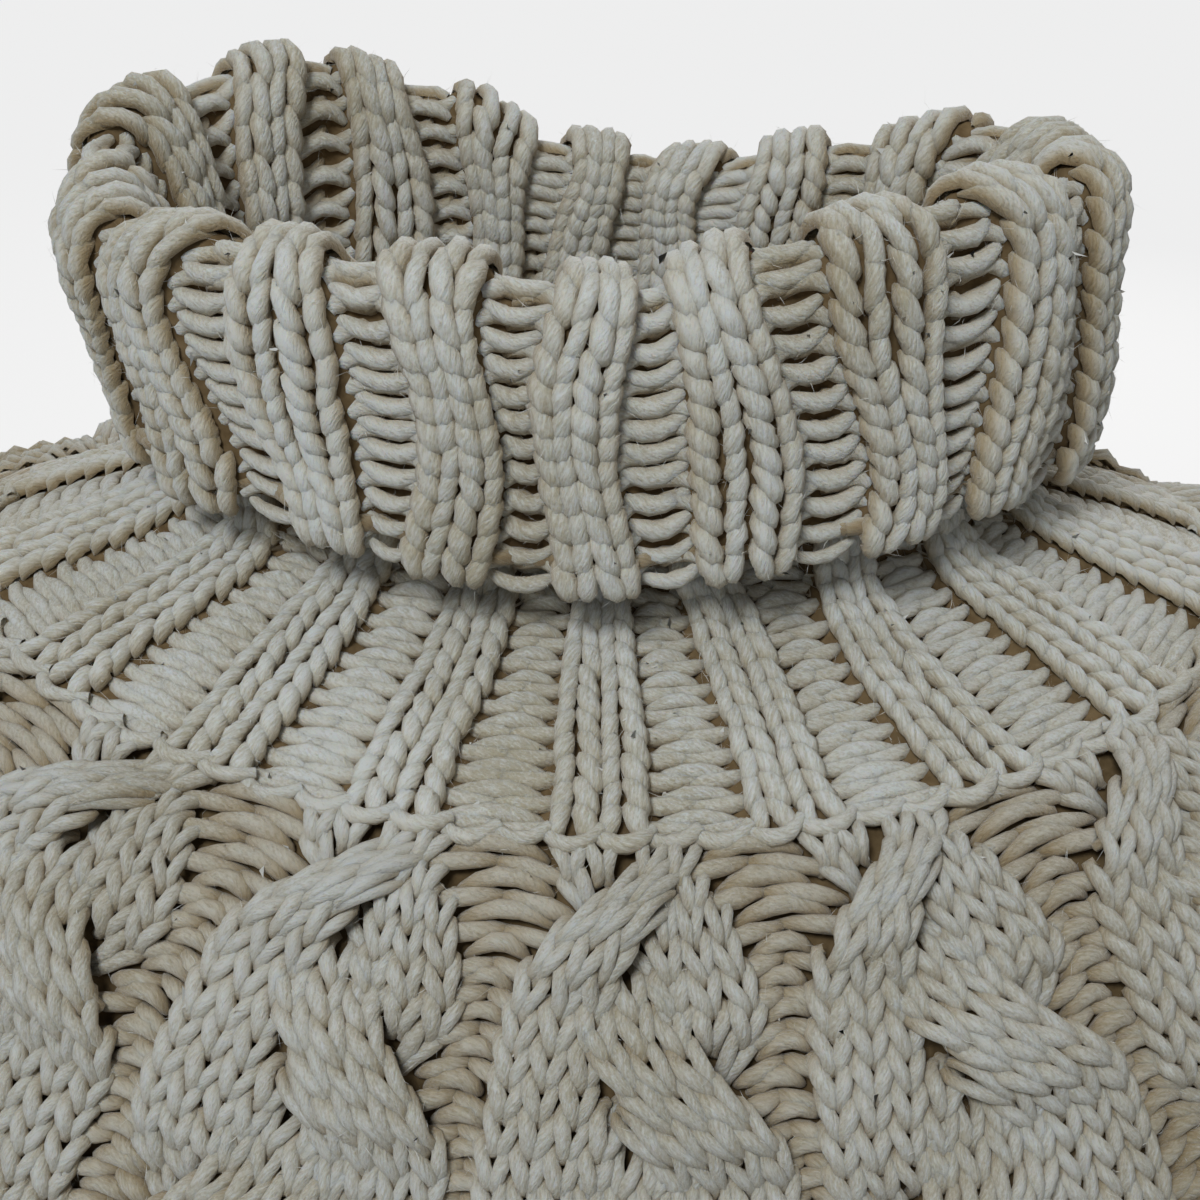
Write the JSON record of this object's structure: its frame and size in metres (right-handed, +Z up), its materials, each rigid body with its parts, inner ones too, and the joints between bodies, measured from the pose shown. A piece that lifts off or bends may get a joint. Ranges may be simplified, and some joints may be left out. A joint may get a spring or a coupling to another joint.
{
  "type": "knitted poncho",
  "caption": "Chunky hand-knitted cream poncho with a wide turned-down ribbed collar, a round ribbed yoke and a cabled body, filled out as worn and open at neck and hem.",
  "frame": {"origin": "middle of the neck's base, where the stand of the collar rises from the yoke", "axes": "+Z up along the neck, -Y towards the front of the poncho, +X towards the wearer's left side"},
  "size_m": [0.7787, 0.4428, 0.6475],
  "materials": {
    "ribbed_wool": "matt, slightly hairy thick cream wool yarn, knitted in rib",
    "cabled_wool": "matt, slightly hairy thick cream wool yarn, knitted in plaited cables"
  },
  "bodies": {
    "root": {"yoke_collar": "ribbed_wool", "body": "cabled_wool"}
  },
  "joints": []
}
